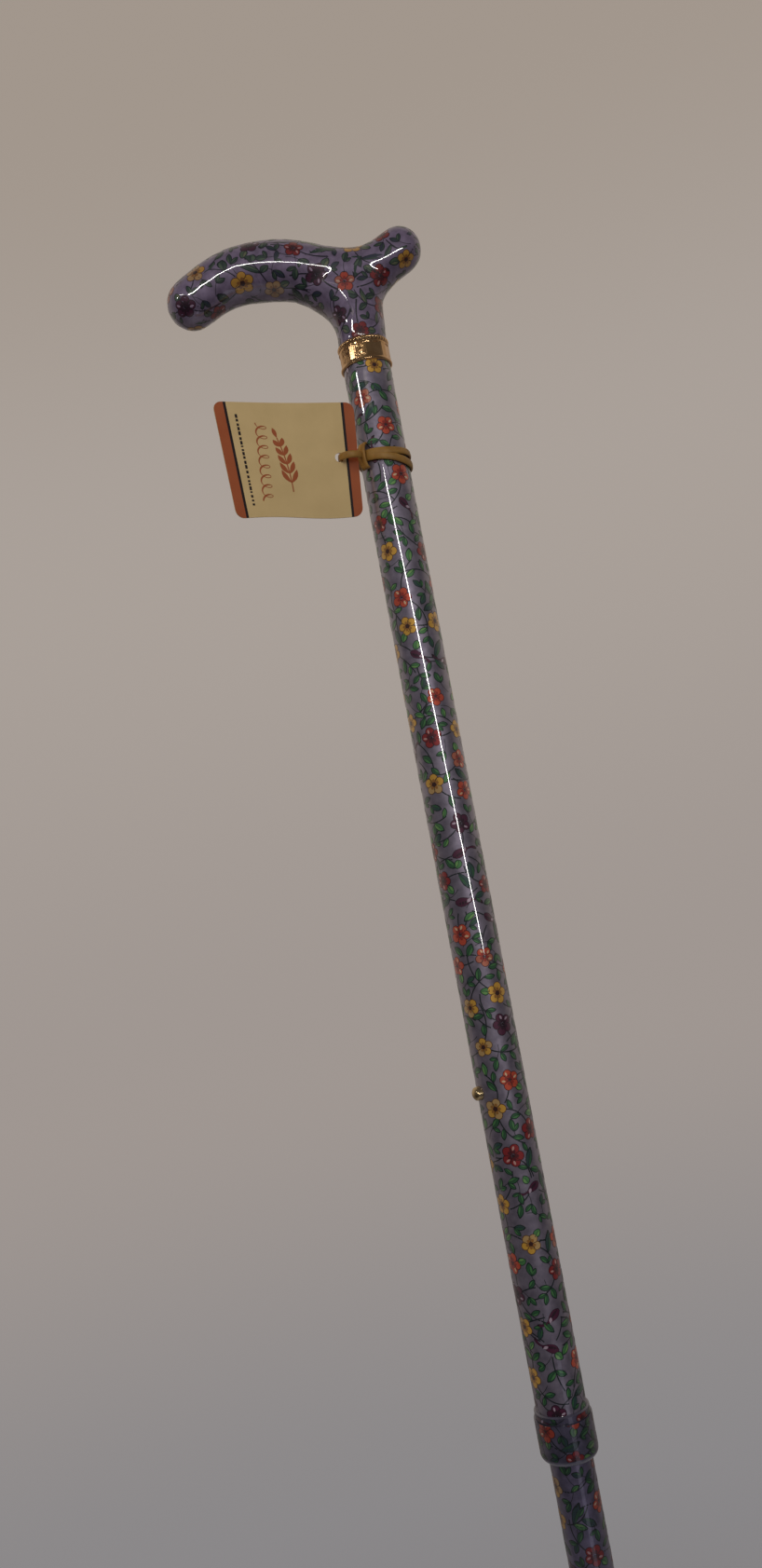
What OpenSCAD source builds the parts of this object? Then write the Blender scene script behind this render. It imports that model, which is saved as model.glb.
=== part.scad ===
// Height-adjustable walking stick with a derby handle, standing upright on its ferrule.
// +Z runs up the shaft, the origin is the middle of the ferrule's foot and the handle's
// long arm points to -X. Millimetres.

/* [Height] */
// Height of the collar's lower edge above the ground, with the button in the rest hole
collar_z = 831.5; // [780:0.5:880]
// Spacing of the height holes
hole_pitch = 19.05; // [19.05:0.05:25.4]
// Number of height holes
hole_count = 13; // [5:1:13]
// Which hole, counted from the lower tube's top, the button sits in at rest
rest_hole = 6; // [1:1:13]
// Height of the button above the ground
button_z = 495.4; // [490:0.1:500]

/* [Tubes] */
// Outer diameter of the upper tube
upper_d = 22.22; // [22:0.01:25.4]
// Bore of the upper tube
upper_bore_d = 19.3; // [19.3:0.05:20]
// Outer diameter of the lower tube
lower_d = 19.05; // [18.5:0.01:19.1]
// Bore of the lower tube
lower_bore_d = 16.66; // [16:0.01:17]
// Height of the lower end of the upper tube
upper_bottom_z = 343; // [343:0.5:346]

/* [Handle] */
// Diameter of the handle's neck above the collar
neck_d = 23.2; // [22.4:0.1:26]
// Facets round the handle
handle_sides = 20; // [12:2:32]
// Steps between two stations of the handle's arm
arm_steps = 3; // [1:1:6]

/* [Collar] */
// Height of the collar ring
collar_h = 12; // [10:0.5:16]
// Largest diameter of the collar ring
collar_d = 24.4; // [24.2:0.1:28]

/* [Height lock] */
// Height of the lock ring's lower edge above the ground
lock_z = 336.5; // [336:0.5:336.5]
// Outer diameter of the lock ring
lock_d = 25.4; // [25:0.1:28]
// Height of the lock ring
lock_ring_h = 17.5; // [17:0.1:17.5]
// Height of the whole lock
lock_h = 21; // [20:0.5:24]

/* [Snap button] */
// Diameter of the button's head
button_d = 6; // [5:0.1:6.1]
// Diameter of the height holes
button_hole_d = 6.3; // [6.2:0.1:7]
// How far the button stands out of the upper tube
button_out = 3.4; // [3:0.1:5]
// Turn of the button and the height holes from straight left, towards the front
button_turn = 23; // [0:1:30]

/* [Ferrule] */
// Diameter of the ferrule's foot
foot_d = 38; // [34:0.5:44]
// Height of the ferrule
ferrule_h = 44; // [38:0.5:50]
// Thickness of the rubber under the tube
foot_thickness = 10; // [8:0.5:12]

/* [Swing tag] */
// Width of the tag's card
tag_w = 64; // [50:1:70]
// Height of the tag's card
tag_h = 55; // [45:1:58]
// Thickness of the card
tag_t = 0.6; // [0.4:0.1:1]
// Turn of the card from straight left, towards the front
tag_turn = 24; // [0:1:45]
// Height of the rubber band above the ground
band_z = 788.3; // [780:0.1:795]
// Width of the flat rubber band
strand_w = 3.4; // [2.5:0.1:4]
// Thickness of the rubber band
strand_t = 1.3; // [0.8:0.1:1.4]

/* [Hidden] */
$fn = 64;
eps = 0.01;

upper_r = upper_d / 2;
upper_bore_r = upper_bore_d / 2;
lower_r = lower_d / 2;
lower_bore_r = lower_bore_d / 2;

// The handle's neck sits on the collar ring, and its spigot goes down inside it
neck_z = collar_z + collar_h;
spigot_z = neck_z - 3.5;
neck_r = neck_d / 2;
insert_r = 5.5;
insert_top_z = neck_z + 23;
stud_r = 4;
stud_bottom_z = spigot_z - 32;
stud_top_z = insert_top_z - 4;
plug_h = 36;

lower_bottom_z = foot_thickness + 1.5;
lower_top_z = button_z + (rest_hole - 1) * hole_pitch + 20;
hole_r = button_hole_d / 2;
hole_heights = [for (i = [1:hole_count]) button_z + (rest_hole - i) * hole_pitch];

gold = "#b8934a";
lilac = "#6f6478";
dark_lilac = "#574c60";

// The arm's centre line from its tip to the knob: [x, height over the neck, half height,
// half width], with the height measured square to the line
arm_stations = [[-75.6, 35.2, 12.1, 11.6], [-70, 38.4, 12.3, 12], [-62, 42.2, 12.6, 12.3],
    [-52, 44.6, 13.2, 12.8], [-42, 44.8, 13.8, 13], [-32, 43.6, 14, 13.1],
    [-22, 41.1, 13.6, 12.8], [-11, 37.6, 12.6, 12.3], [0, 35.5, 11.8, 11.9],
    [8, 35.7, 11.2, 11.5], [16, 38, 10.9, 11.2], [25, 42.6, 10.9, 10.9]];
// The neck's flare: [height over the collar, left edge, right edge, half width]
neck_stations = [[0, -11.6, 11.6, 11.6], [6, -11.1, 12, 11.6], [11, -11.7, 12.4, 11.6],
    [15, -13.4, 12.8, 11.7], [19, -16.3, 13.3, 11.8], [23, -20.6, 15.6, 11.9],
    [26, -24, 18.6, 12], [28.5, -28.5, 21.5, 12], [34, -30, 21, 11]];

// Point t of the way from b to c on a smooth curve through a, b, c and d
function smooth_point(a, b, c, d, t) =
    0.5 * (2 * b + (c - a) * t + (2 * a - 5 * b + 4 * c - d) * t * t
    + (3 * b - a - 3 * c + d) * t * t * t);

// Stations with steps extra ones between each pair, on a smooth curve
function smooth_stations(s, steps) = let (n = len(s)) concat(
    [for (i = [0:n - 2], j = [0:steps - 1])
        smooth_point(s[max(i - 1, 0)], s[i], s[i + 1], s[min(i + 2, n - 1)], j / steps)],
    [s[n - 1]]);

function unit(v) = v / norm(v);

// Direction of the arm at station i, in X and Z
function arm_direction(s, i) = let (
    a = s[max(i - 1, 0)],
    b = s[min(i + 1, len(s) - 1)]
    ) unit([b[0] - a[0], b[1] - a[1]]);

// One ring of points round station p, moved by shift along the direction d and shrunk
function arm_ring(p, d, shift, shrink) = [for (k = [0:handle_sides - 1])
    let (a = 360 * k / handle_sides, up = p[2] * shrink * cos(a), side = p[3] * shrink * sin(a))
    [p[0] + d[0] * shift - d[1] * up, side, p[1] + d[1] * shift + d[0] * up]];

// Closed solid through rings of points that all have the same number of points
module skin(rings) {
    n = len(rings[0]);
    m = len(rings);
    faces = concat(
        [[for (k = [n - 1:-1:0]) k]],
        [for (i = [0:m - 2], k = [0:n - 1])
            [i * n + k, (i + 1) * n + (k + 1) % n, (i + 1) * n + k]],
        [for (i = [0:m - 2], k = [0:n - 1])
            [i * n + k, i * n + (k + 1) % n, (i + 1) * n + (k + 1) % n]],
        [[for (k = [0:n - 1]) (m - 1) * n + k]]);
    polyhedron(points = [for (r = rings, p = r) p], faces = faces, convexity = 4);
}

// The handle's arm: a smooth sweep with a round end at its tip and at its knob
module arm() {
    s = smooth_stations(arm_stations, arm_steps);
    last = len(s) - 1;
    cap = [for (a = [75:-15:15]) a];
    tip = [for (a = cap)
        arm_ring(s[0], arm_direction(s, 0), -s[0][2] * sin(a), cos(a))];
    middle = [for (i = [0:last]) arm_ring(s[i], arm_direction(s, i), 0, 1)];
    knob = [for (i = [len(cap) - 1:-1:0])
        arm_ring(s[last], arm_direction(s, last), s[last][2] * sin(cap[i]), cos(cap[i]))];
    translate([0, 0, neck_z]) skin(concat(tip, middle, knob));
}

// The flare between the round neck and the underside of the arm
module neck_flare() {
    s = smooth_stations(neck_stations, 2);
    rings = [for (p = s) [for (k = [0:handle_sides - 1])
        let (a = 360 * k / handle_sides, mid = (p[1] + p[2]) / 2, half = (p[2] - p[1]) / 2)
        [mid + half * cos(a), -p[3] * sin(a), p[0]]]];
    translate([0, 0, neck_z]) skin(rings);
}

// Ring of section [inner radius, outer radius, bottom, top]
module sleeve(inner_r, outer_r, bottom, top) {
    difference() {
        translate([0, 0, bottom]) cylinder(r = outer_r, h = top - bottom);
        translate([0, 0, bottom - 1]) cylinder(r = inner_r, h = top - bottom + 2);
    }
}

module handle() {
    color(dark_lilac) difference() {
        union() {
            arm();
            neck_flare();
            translate([0, 0, spigot_z]) cylinder(r = upper_r, h = neck_z - spigot_z + eps);
        }
        translate([0, 0, spigot_z - 1]) cylinder(r = insert_r, h = insert_top_z - spigot_z + 1);
    }
}

// Threaded brass insert in the handle, with two anchoring grooves round it
module handle_insert() {
    groove_depth = 0.7;
    color("goldenrod") difference() {
        sleeve(stud_r, insert_r, spigot_z + 1, insert_top_z - 1);
        for (z = [spigot_z + 8, spigot_z + 16])
            sleeve(insert_r - groove_depth, insert_r + 1, z, z + 2);
    }
}

// Threaded stud that draws the handle down on the tube
module handle_stud() {
    color("silver") translate([0, 0, stud_bottom_z])
        cylinder(r = stud_r, h = stud_top_z - stud_bottom_z);
}

// Plug that closes the upper tube and holds the stud
module tube_plug() {
    groove_depth = 0.6;
    color("tan") difference() {
        sleeve(stud_r, upper_bore_r, spigot_z - plug_h, spigot_z);
        for (z = [spigot_z - 10, spigot_z - 26])
            sleeve(upper_bore_r - groove_depth, upper_bore_r + 1, z, z + 2);
    }
}

// Collar ring over the joint between tube and handle: a bead at its top, a plain band
// and a rolled lower rim
module collar_ring() {
    bead_r = 1.1;
    rim_r = 0.7;
    outer_r = collar_d / 2;
    color(gold) translate([0, 0, collar_z]) difference() {
        rotate_extrude() union() {
            square([outer_r - 0.5, collar_h]);
            translate([0, 2 * rim_r]) square([outer_r - 0.2, 6.9]);
            translate([outer_r - rim_r, rim_r]) circle(r = rim_r);
            translate([outer_r - bead_r, collar_h - bead_r]) circle(r = bead_r);
        }
        translate([0, 0, -1]) cylinder(r = upper_r, h = collar_h + 2);
    }
}

// Upper tube, with one hole for the button in its left side
module upper_tube() {
    color(lilac) difference() {
        sleeve(upper_bore_r, upper_r, upper_bottom_z, spigot_z);
        rotate([0, 0, button_turn]) translate([-upper_r - 2, 0, button_z])
            rotate([0, 90, 0]) cylinder(r = hole_r, h = upper_r);
    }
}

// Threaded sleeve fixed on the lower end of the upper tube, with a round lip at its top
module lock_base() {
    thread_r = 11.85;
    lip_r = 12.1;
    lip_h = 3.3;
    color(lilac) difference() {
        union() {
            translate([0, 0, upper_bottom_z])
                cylinder(r = thread_r, h = lock_z + lock_h - upper_bottom_z - 0.5);
            translate([0, 0, lock_z + lock_h - lip_h]) cylinder(r = lip_r, h = lip_h - 0.6);
            translate([0, 0, lock_z + lock_h - 0.6])
                cylinder(r1 = lip_r, r2 = lip_r - 0.5, h = 0.6);
        }
        translate([0, 0, upper_bottom_z - 1]) cylinder(r = upper_r, h = lock_h + 2);
    }
}

// Split cone that the lock ring closes on the lower tube
module lock_collet() {
    cone_bottom_z = lock_z + 1.6;
    cone_h = 4.8;
    slit_w = 1.2;
    clearance = 0.1;
    color("dimgray") difference() {
        translate([0, 0, cone_bottom_z]) cylinder(r1 = 10.75, r2 = 11.6, h = cone_h);
        translate([0, 0, cone_bottom_z - 1]) cylinder(r = lower_r + clearance, h = cone_h + 2);
        translate([5, -slit_w / 2, cone_bottom_z - 1]) cube([10, slit_w, cone_h + 2]);
    }
}

// Screw ring of the height lock, rounded at its lower edge and coned inside it
module lock_ring() {
    edge_r = 2.6;
    thread_r = 11.9;
    mouth_r = 9.7;
    r = lock_d / 2;
    color(lilac) translate([0, 0, lock_z]) difference() {
        rotate_extrude() union() {
            square([r - edge_r, lock_ring_h]);
            translate([0, edge_r]) square([r, lock_ring_h - edge_r]);
            translate([r - edge_r, edge_r]) circle(r = edge_r);
        }
        translate([0, 0, -1]) cylinder(r = mouth_r, h = lock_ring_h);
        translate([0, 0, 1.5]) cylinder(r1 = 10.9, r2 = thread_r, h = 3.5);
        translate([0, 0, 5 - eps]) cylinder(r = thread_r, h = lock_ring_h);
    }
}

// Lower tube, with the row of height holes that slides past the button
module lower_tube() {
    color(dark_lilac) difference() {
        sleeve(lower_bore_r, lower_r, lower_bottom_z, lower_top_z);
        for (z = hole_heights)
            rotate([0, 0, button_turn]) translate([-lower_r - 2, 0, z]) rotate([0, 90, 0])
                cylinder(r = hole_r, h = lower_r);
    }
}

// Bush on top of the lower tube, which guides it in the upper tube's bore
module guide_bush() {
    color("ivory") {
        sleeve(5.5, lower_bore_r, lower_top_z - 10, lower_top_z + eps);
        sleeve(5.5, upper_bore_r - 0.05, lower_top_z, lower_top_z + 3);
    }
}

// Leaf spring bent to a V: one leg carries the button and the other bears on the far wall
module button_spring() {
    leaf_w = 6;
    color("silver") rotate([0, 0, button_turn]) translate([0, leaf_w / 2, button_z])
        rotate([90, 0, 0]) linear_extrude(leaf_w)
            polygon([[-5.5, 4.6], [-5.5, -5], [3.8, -35], [5.4, -37], [6.9, -36.4],
                [7.5, -34], [7.5, 4], [6.8, 4], [6.8, -33], [5.4, -35.6], [4.5, -34.4],
                [-4.7, -4.8], [-4.7, 4.6]]);
}

// Domed button with a flange that stops it against the inside of the lower tube
module snap_button() {
    flange_r = 4.4;
    flange_x = 5.5;
    dome_h = 1.6;
    head_r = button_d / 2;
    tip_x = upper_r + button_out;
    dome_r = (head_r * head_r + dome_h * dome_h) / (2 * dome_h);
    color(gold) rotate([0, 0, button_turn]) translate([0, 0, button_z]) {
        rotate([0, -90, 0]) intersection() {
            translate([0, 0, flange_x]) cylinder(r = head_r, h = tip_x - flange_x);
            translate([0, 0, tip_x - dome_r]) sphere(r = dome_r);
        }
        intersection() {
            translate([-lower_bore_r, 0, 0]) rotate([0, 90, 0])
                cylinder(r = flange_r, h = lower_bore_r - flange_x);
            translate([0, 0, -flange_r]) cylinder(r = lower_bore_r - 0.06, h = 2 * flange_r);
        }
    }
}

// Steel washer between the lower tube's end and the rubber
module ferrule_washer() {
    color("silver") sleeve(3, lower_r, foot_thickness, lower_bottom_z);
}

// Rubber ferrule: flared foot with tread rings, tapering cup and a bead round its mouth
module ferrule() {
    foot_r = foot_d / 2;
    mouth_r = 13;
    bead_r = 1.8;
    color("#2c2c2e") difference() {
        rotate_extrude() union() {
            polygon([[0, 0], [foot_r - 1.5, 0], [foot_r, 1.5], [foot_r, 6], [foot_r - 2, 9],
                [foot_r - 4.6, 14], [mouth_r + 0.4, 22], [mouth_r, 30],
                [mouth_r - 0.4, ferrule_h - bead_r], [mouth_r - 1.2, ferrule_h], [0, ferrule_h]]);
            for (z = [ferrule_h - bead_r - 1, ferrule_h - 8])
                translate([mouth_r - 0.9, z]) circle(r = bead_r);
        }
        translate([0, 0, foot_thickness]) cylinder(r = lower_r, h = ferrule_h);
        for (r = [6, 10, 14])
            translate([0, 0, -1]) sleeve(r, r + 1.2, 0, 2.2);
    }
}

// Where the band's link holds the tag: the axis the tag swings about
link_r = 5.2;
link_x = -15.3;
link_y = -9.7;

// Printed card with rounded corners, hung by a hole near its right edge
module swing_tag() {
    hole_r = 2.2;
    corner_r = 4;
    margin = 3.8;
    color("#c9b07e") translate([link_x, link_y, band_z]) rotate([0, 0, tag_turn])
        rotate([90, 0, 0]) translate([0, 0, -tag_t / 2]) difference() {
            translate([margin - tag_w, -tag_h / 2 - 1]) union() {
                translate([corner_r, 0]) cube([tag_w - 2 * corner_r, tag_h, tag_t]);
                translate([0, corner_r]) cube([tag_w, tag_h - 2 * corner_r, tag_t]);
                for (x = [corner_r, tag_w - corner_r], y = [corner_r, tag_h - corner_r])
                    translate([x, y]) cylinder(r = corner_r, h = tag_t);
            }
            translate([-link_r, 0, -1]) cylinder(r = hole_r, h = tag_t + 2);
        }
}

// Flat rubber band: two turns round the tube and the loop that goes through the tag's hole
module tag_band() {
    edge = 0.4;
    gap = 0.25;
    w = strand_w / 2;
    t = strand_t;
    color("#8a7340") translate([0, 0, band_z]) {
        rotate_extrude() for (z = [-w + 0.1, w - 0.1]) translate([upper_r + gap, z])
            polygon([[0, -w], [t - edge, -w], [t, edge - w], [t, w - edge], [t - edge, w], [0, w]]);
        translate([link_x, link_y, -w]) difference() {
            cylinder(r = link_r + t / 2, h = 2 * w);
            translate([0, 0, -1]) cylinder(r = link_r - t / 2, h = 2 * w + 2);
        }
    }
}

handle();
handle_insert();
handle_stud();
tube_plug();
collar_ring();
upper_tube();
lock_base();
lock_collet();
lock_ring();
lower_tube();
guide_bush();
button_spring();
snap_button();
ferrule_washer();
ferrule();
swing_tag();
tag_band();
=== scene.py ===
"""Looks of the walking cane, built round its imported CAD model.

Lengths are in millimetres, but in metres for the floor, the camera and the lights.
"""

import math
import random

import bmesh
import bpy
import numpy as np
from mathutils import Matrix, Vector, kdtree
from mathutils.bvhtree import BVHTree


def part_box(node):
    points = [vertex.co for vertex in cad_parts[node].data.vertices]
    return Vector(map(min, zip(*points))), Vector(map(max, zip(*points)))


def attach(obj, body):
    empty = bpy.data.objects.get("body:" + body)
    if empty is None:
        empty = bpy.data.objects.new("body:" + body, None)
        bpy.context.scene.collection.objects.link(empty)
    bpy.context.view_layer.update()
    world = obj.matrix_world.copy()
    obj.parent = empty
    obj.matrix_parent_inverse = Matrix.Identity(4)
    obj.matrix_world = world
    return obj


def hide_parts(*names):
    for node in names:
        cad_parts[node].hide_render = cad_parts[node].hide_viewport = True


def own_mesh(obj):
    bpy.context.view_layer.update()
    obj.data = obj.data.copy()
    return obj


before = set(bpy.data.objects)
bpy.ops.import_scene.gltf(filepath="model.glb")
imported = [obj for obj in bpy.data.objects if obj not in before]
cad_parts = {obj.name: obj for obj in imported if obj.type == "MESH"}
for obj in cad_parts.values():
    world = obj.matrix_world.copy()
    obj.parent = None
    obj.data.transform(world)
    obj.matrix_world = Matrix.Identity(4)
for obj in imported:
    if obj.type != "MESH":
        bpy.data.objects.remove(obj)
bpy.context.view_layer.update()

MM = 0.001
TAU = 2 * math.pi


def top_of(node):
    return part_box(node)[1].z / MM


def bottom_of(node):
    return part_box(node)[0].z / MM


# ---- driving sizes, from the frame
UPPER_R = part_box("upper_tube")[1].x / MM
LOWER_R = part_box("lower_tube")[1].x / MM
LOCK_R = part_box("lock_ring")[1].x / MM
COLLAR_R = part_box("collar_ring")[1].x / MM
COLLAR_Z = bottom_of("collar_ring")
COLLAR_H = top_of("collar_ring") - COLLAR_Z
NECK_Z = top_of("collar_ring")
LOCK_Z = bottom_of("lock_ring")
LOCK_TOP_Z = top_of("lock_base")
LOCK_RING_TOP_Z = top_of("lock_ring")
FERRULE_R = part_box("ferrule")[1].x / MM
FERRULE_H = top_of("ferrule")
BUTTON_OUT = 3.4
BUTTON_TURN = math.radians(23)
BUTTON_Z = (top_of("snap_button") + bottom_of("snap_button")) / 2
BAND_Z = (top_of("tag_band") + bottom_of("tag_band")) / 2
HOLE_R = 3.15
HOLE_PITCH = 19.05
COAT_IOR = 1.9


# ---- materials
def add_node(tree, kind, inputs=None, **settings):
    """A new shader node; each input is a value, or another node's socket to link from."""
    node = tree.nodes.new("ShaderNode" + kind)
    for name, value in settings.items():
        setattr(node, name, value)
    for name, value in (inputs or {}).items():
        if isinstance(value, bpy.types.NodeSocket):
            tree.links.new(value, node.inputs[name])
        else:
            node.inputs[name].default_value = value
    return node


def color_ramp(tree, source, stops, interpolation="LINEAR"):
    """Colours along a value, from stops of (position, colour)."""
    node = add_node(tree, "ValToRGB", {"Fac": source})
    node.color_ramp.interpolation = interpolation
    while len(node.color_ramp.elements) < len(stops):
        node.color_ramp.elements.new(0.5)
    for element, (place, color) in zip(node.color_ramp.elements, stops):
        element.position, element.color = place, (*color, 1)
    return node.outputs["Color"]


def shader_of(mat):
    return mat.node_tree.nodes["Principled BSDF"]


def drive(mat, socket, source):
    mat.node_tree.links.new(source, shader_of(mat).inputs[socket])


def material(name, color, metallic=0.0, roughness=0.5, coat=0.0, coat_roughness=0.03):
    """A material with a Principled shader; its uniform values sit on the shader's own sockets."""
    mat = bpy.data.materials.new(name)
    mat.use_nodes = True
    values = {"Base Color": (*color, 1), "Metallic": metallic, "Roughness": roughness,
              "Coat Weight": coat, "Coat Roughness": coat_roughness, "Coat IOR": COAT_IOR}
    for socket, value in values.items():
        shader_of(mat).inputs[socket].default_value = value
    return mat


def pattern(mat, scale, detail=3.0, stretch=(1, 1, 1)):
    """A noise pattern in object space, in pattern cells per metre."""
    tree = mat.node_tree
    place = add_node(tree, "TexCoord").outputs["Object"]
    mapped = add_node(tree, "Mapping", {"Vector": place, "Scale": stretch}).outputs["Vector"]
    noise = add_node(tree, "TexNoise", {"Vector": mapped, "Scale": scale, "Detail": detail})
    return noise.outputs["Fac"]


def vary_color(mat, source, dark, light, low=0.3, high=0.7):
    """The base colour runs from dark to light with the pattern."""
    drive(mat, "Base Color", color_ramp(mat.node_tree, source, ((low, dark), (high, light))))


def vary_roughness(mat, source, low, high):
    spread = add_node(mat.node_tree, "MapRange", {"Value": source, "To Min": low, "To Max": high})
    drive(mat, "Roughness", spread.outputs["Result"])


def bump(mat, source, strength, depth_mm):
    node = add_node(mat.node_tree, "Bump",
                    {"Height": source, "Strength": strength, "Distance": depth_mm * MM})
    drive(mat, "Normal", node.outputs["Normal"])


def flake_paint(name, dark, light, metallic, roughness, coat_roughness):
    """Metallic paint under clear lacquer: fine flakes in the paint, and a smooth coat over them."""
    mat = material(name, light, metallic, roughness, coat=1.0, coat_roughness=coat_roughness)
    vary_color(mat, pattern(mat, 260, 4), dark, light, 0.35, 0.65)
    bump(mat, pattern(mat, 2600, 2), 0.25, 0.02)
    return mat


def metal(name, dark, light, roughness, scale=180, grain=(1, 1, 1)):
    mat = material(name, light, 1.0, roughness)
    source = pattern(mat, scale, 4, grain)
    vary_color(mat, source, dark, light)
    vary_roughness(mat, source, roughness * 0.7, roughness * 1.5)
    return mat


def plain(name, dark, light, roughness, scale=400, depth_mm=0.03, stretch=(1, 1, 1)):
    """Wood, card, rubber or plastic with a soft mottle and a fine surface grain."""
    mat = material(name, light, 0.0, roughness)
    vary_color(mat, pattern(mat, scale * 0.25, 4, stretch), dark, light)
    bump(mat, pattern(mat, scale * 4, 3, stretch), 0.5, depth_mm)
    return mat


TUBE_PAINT = flake_paint("tube_paint", (0.22, 0.19, 0.255), (0.34, 0.295, 0.385), 0.7, 0.44, 0.015)
# The lower tube's and the lock's paints are darker and bluer than the upper tube's: partly their own
# deeper colour, partly painted shade for the dimmer light low on the cane.
LOWER_PAINT_AND_SHADE = flake_paint("lower_tube_paint_and_shade", (0.11, 0.096, 0.165), (0.19, 0.162, 0.27),
                          0.7, 0.44, 0.015)
LOCK_PAINT_AND_SHADE = flake_paint("lock_paint_and_shade", (0.068, 0.062, 0.105), (0.125, 0.112, 0.185),
                         0.6, 0.46, 0.02)
HANDLE_PAINT = flake_paint("handle_paint", (0.17, 0.125, 0.21), (0.27, 0.205, 0.33),
                           0.25, 0.5, 0.01)
GOLD = metal("gilt", (0.72, 0.43, 0.2), (0.9, 0.58, 0.3), 0.11)
BRASS = metal("brass", (0.6, 0.42, 0.19), (0.76, 0.58, 0.33), 0.2)
STEEL = metal("bright_steel", (0.45, 0.45, 0.45), (0.68, 0.68, 0.67), 0.3, 120, (1, 1, 6))
WOOD = plain("turned_wood", (0.34, 0.2, 0.1), (0.55, 0.37, 0.2), 0.6, 300, 0.05, (1, 1, 0.15))
BLACK_PLASTIC = plain("black_plastic", (0.02, 0.02, 0.022), (0.04, 0.04, 0.042), 0.45)
WHITE_PLASTIC = plain("white_plastic", (0.62, 0.61, 0.57), (0.76, 0.75, 0.71), 0.4)
RUBBER = plain("ferrule_rubber", (0.012, 0.012, 0.014), (0.035, 0.035, 0.037), 0.62, 500, 0.06)
BAND_RUBBER = plain("band_rubber", (0.3, 0.145, 0.028), (0.48, 0.26, 0.062), 0.5, 600, 0.06)
shader_of(BAND_RUBBER).inputs["Subsurface Weight"].default_value = 0.15
shader_of(BAND_RUBBER).inputs["Subsurface Radius"].default_value = (0.002, 0.001, 0.0004)
CARD = plain("tag_card", (0.76, 0.55, 0.26), (0.84, 0.615, 0.3), 0.75, 260, 0.02)
CARD_RUST = plain("tag_rust_ink", (0.42, 0.095, 0.028), (0.49, 0.125, 0.04), 0.6, 260, 0.02)
CARD_DARK = plain("tag_dark_ink", (0.012, 0.006, 0.008), (0.024, 0.012, 0.014), 0.6, 260, 0.02)


# ---- mesh helpers
def add_object(name, data):
    obj = bpy.data.objects.new(name, data)
    bpy.context.scene.collection.objects.link(obj)
    return obj


def piece(name, verts, faces, mats, body, slot, face_mats=None):
    """A mesh piece from millimetre points, which rides on a body."""
    mesh = bpy.data.meshes.new(name)
    mesh.from_pydata([tuple(c * MM for c in v) for v in verts], [], faces)
    for mat in mats:
        mesh.materials.append(mat)
    if face_mats is not None:
        mesh.polygons.foreach_set("material_index", face_mats)
    mesh.polygons.foreach_set("use_smooth", [True] * len(mesh.polygons))
    mesh.update()
    obj = add_object(name, mesh)
    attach(obj, body)
    return obj


def grid_faces(rows, columns, closed_rows=False):
    """Quads between rows of points, each row a closed ring."""
    faces = []
    for i in range(rows if closed_rows else rows - 1):
        a, b = i * columns, ((i + 1) % rows) * columns
        for k in range(columns):
            k2 = (k + 1) % columns
            faces.append((a + k, a + k2, b + k2, b + k))
    return faces


def spin(count):
    """Cosine and sine of even steps round a turn."""
    return [(math.cos(TAU * k / count), math.sin(TAU * k / count)) for k in range(count)]


def circle(r, z, count):
    return [(r * c, r * t, z) for c, t in spin(count)]


def towards(angle, distance, x=0.0, y=0.0):
    return x + distance * math.cos(angle), y + distance * math.sin(angle)


def lathe(profile, segments):
    """Points and faces of a closed outline of (radius, height) turned about Z."""
    verts = [point for r, z in profile for point in circle(r, z, segments)]
    return verts, grid_faces(len(profile), segments, closed_rows=True)


def arc(cx, cy, r, start, end, steps):
    """Points (x, y) round an arc, with its ends in degrees."""
    angles = [math.radians(start + (end - start) * i / steps) for i in range(steps + 1)]
    return [(cx + r * math.cos(a), cy + r * math.sin(a)) for a in angles]


def crisp(obj, angle=35):
    """Edges sharper than the angle stay crisp under smooth shading."""
    mesh = obj.data
    bm = bmesh.new()
    bm.from_mesh(mesh)
    bmesh.ops.remove_doubles(bm, verts=bm.verts, dist=1e-7)
    bmesh.ops.dissolve_degenerate(bm, edges=bm.edges, dist=1e-7)
    bmesh.ops.recalc_face_normals(bm, faces=bm.faces)
    for edge in bm.edges:
        edge.smooth = len(edge.link_faces) != 2 or edge.calc_face_angle() < math.radians(angle)
    bm.to_mesh(mesh)
    bm.free()


def catmull(a, b, c, d, t):
    return 0.5 * (2 * b + (c - a) * t + (2 * a - 5 * b + 4 * c - d) * t * t
                  + (3 * b - a - 3 * c + d) * t ** 3)


def smooth_rows(rows, steps):
    """Rows of numbers with more rows between them, on a smooth curve."""
    rows = [np.array(r, float) for r in rows]
    last = len(rows) - 1
    out = [catmull(rows[max(i - 1, 0)], rows[i], rows[i + 1], rows[min(i + 2, last)], j / steps)
           for i in range(last) for j in range(steps)]
    return out + [rows[last]]


def around(points, i, closed=False):
    """The points before and after point i; at an open end, the end itself stands in."""
    last = len(points) - 1
    if closed:
        return points[i - 1], points[(i + 1) % (last + 1)]
    return points[max(i - 1, 0)], points[min(i + 1, last)]


def left_of(line, i):
    """Unit vector to the left of a flat line at its point i."""
    (ax, ay), (bx, by) = around(line, i)
    length = math.hypot(bx - ax, by - ay) or 1.0
    return -(by - ay) / length, (bx - ax) / length


def rod(start, end, radius, sides):
    """A level round rod between two points."""
    side = (end - start).normalized().cross(Vector((0, 0, 1))).normalized()
    up = side.cross((end - start).normalized())
    verts = [p + radius * (c * side + t * up) for p in (start, end) for c, t in spin(sides)]
    ends = [tuple(range(sides)), tuple(range(2 * sides - 1, sides - 1, -1))]
    return verts, grid_faces(2, sides) + ends


def joined(parts):
    """Several (points, faces) as one."""
    verts, faces = [], []
    for v, f in parts:
        faces += [tuple(i + len(verts) for i in face) for face in f]
        verts += [tuple(p) for p in v]
    return verts, faces


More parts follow.
